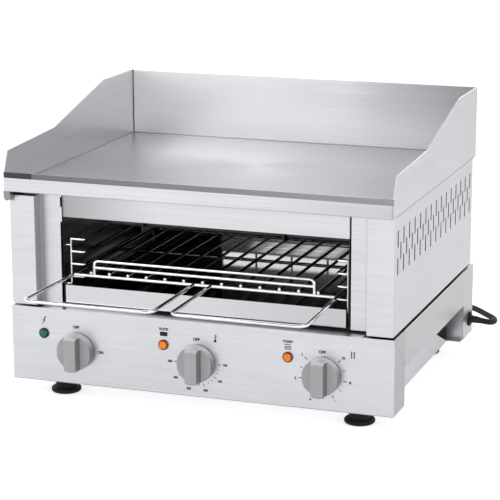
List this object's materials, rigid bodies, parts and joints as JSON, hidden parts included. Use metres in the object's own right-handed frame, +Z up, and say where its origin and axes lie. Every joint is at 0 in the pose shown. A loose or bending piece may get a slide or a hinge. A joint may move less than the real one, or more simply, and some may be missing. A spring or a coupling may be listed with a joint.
{
  "type": "griddle toaster",
  "caption": "Countertop steel griddle with a splash guard over an open grilling cavity with a sliding wire rack and crumb tray, on a control base with rotary knobs and lamps",
  "frame": {"origin": "centre of the standing appliance's footprint, from the rack handles' front wires to the rear channel, on the surface under its feet", "axes": "+X to the right seen from the front, +Y towards the rear, +Z up"},
  "size_m": [0.5481, 0.703, 0.371],
  "materials": {
    "sheet_steel": "brushed stainless sheet",
    "cavity_steel": "dull heat-stained sheet",
    "tray_steel": "satin sheet",
    "plate_steel": "ground satin plate",
    "chrome_wire": "plated wire",
    "element_sheath": "dark oxidised sheath",
    "plated_steel": "zinc plated",
    "knob_grey": "matt moulded",
    "black_plastic": "matt moulded",
    "foot_rubber": "matt",
    "cord_rubber": "matt",
    "thermostat_beige": "moulded body",
    "regulator_brown": "moulded body",
    "copper_tube": "drawn tube",
    "lamp_green": "translucent lens",
    "lamp_amber": "translucent lens",
    "terminal_white": "moulded",
    "loom_red": "heat-resistant sleeving",
    "insulation_wool": "felted wool"
  },
  "bodies": {
    "casing": {"control_panel": "sheet_steel", "base_deck": "sheet_steel", "base_side_left": "sheet_steel", "base_side_right": "sheet_steel", "base_pan": "sheet_steel", "rear_channel": "sheet_steel", "foot_front_left": "foot_rubber", "foot_front_right": "foot_rubber", "foot_rear_left": "foot_rubber", "foot_rear_right": "foot_rubber", "foot_screws": "plated_steel", "insulating_spacers": "black_plastic", "body_floor": "cavity_steel", "side_panel_left": "sheet_steel", "side_panel_right": "sheet_steel", "front_post_left": "sheet_steel", "front_post_right": "sheet_steel", "body_back_panel": "sheet_steel", "header_fascia": "sheet_steel", "cavity_side_left": "cavity_steel", "cavity_side_right": "cavity_steel", "cavity_rear": "cavity_steel", "heat_reflector": "cavity_steel", "plate_insulation": "insulation_wool", "hob_frame": "cavity_steel", "griddle_plate": "plate_steel", "grease_gully": "sheet_steel", "front_trim": "sheet_steel", "grease_spout": "sheet_steel", "splash_guard_left": "sheet_steel", "splash_guard_right": "sheet_steel", "splash_guard_back": "sheet_steel", "plate_element": "element_sheath", "toast_element_front": "element_sheath", "toast_element_rear": "element_sheath", "element_hangers": "cavity_steel", "rack_support_left": "chrome_wire", "rack_support_right": "chrome_wire", "mains_switch": "black_plastic", "plate_thermostat": "thermostat_beige", "toast_regulator": "regulator_brown", "thermostat_bulb": "copper_tube", "mains_lamp": "lamp_green", "plate_lamp": "lamp_amber", "toast_lamp": "lamp_amber", "terminal_block": "terminal_white", "wiring_loom": "loom_red", "cable_gland": "black_plastic", "power_cord": "cord_rubber", "cord_coil": "cord_rubber", "mains_plug": "black_plastic", "body_screws": "plated_steel"},
    "mains_control": {"mains_knob": "knob_grey", "mains_spindle": "plated_steel"},
    "plate_control": {"plate_knob": "knob_grey", "plate_spindle": "plated_steel"},
    "toast_control": {"toast_knob": "knob_grey", "toast_spindle": "plated_steel"},
    "rack": {"wire_rack": "chrome_wire"},
    "tray": {"crumb_tray": "tray_steel"}
  },
  "joints": [
    {"name": "mains_turn", "type": "hinge", "parent": "casing", "child": "mains_control", "pos_m": [-0.165, -0.144, 0.069], "axis": [0, 1, 0], "range_deg": [0, 90]},
    {"name": "plate_turn", "type": "hinge", "parent": "casing", "child": "plate_control", "pos_m": [0, -0.144, 0.069], "axis": [0, 1, 0], "range_deg": [0, 270]},
    {"name": "toast_turn", "type": "hinge", "parent": "casing", "child": "toast_control", "pos_m": [0.165, -0.144, 0.069], "axis": [0, 1, 0], "range_deg": [0, 310]},
    {"name": "rack_slide", "type": "slide", "parent": "casing", "child": "rack", "axis": [0, -1, 0], "range_m": [0, 0.33]},
    {"name": "tray_slide", "type": "slide", "parent": "casing", "child": "tray", "axis": [0, -1, 0], "range_m": [0, 0.41]}
  ]
}
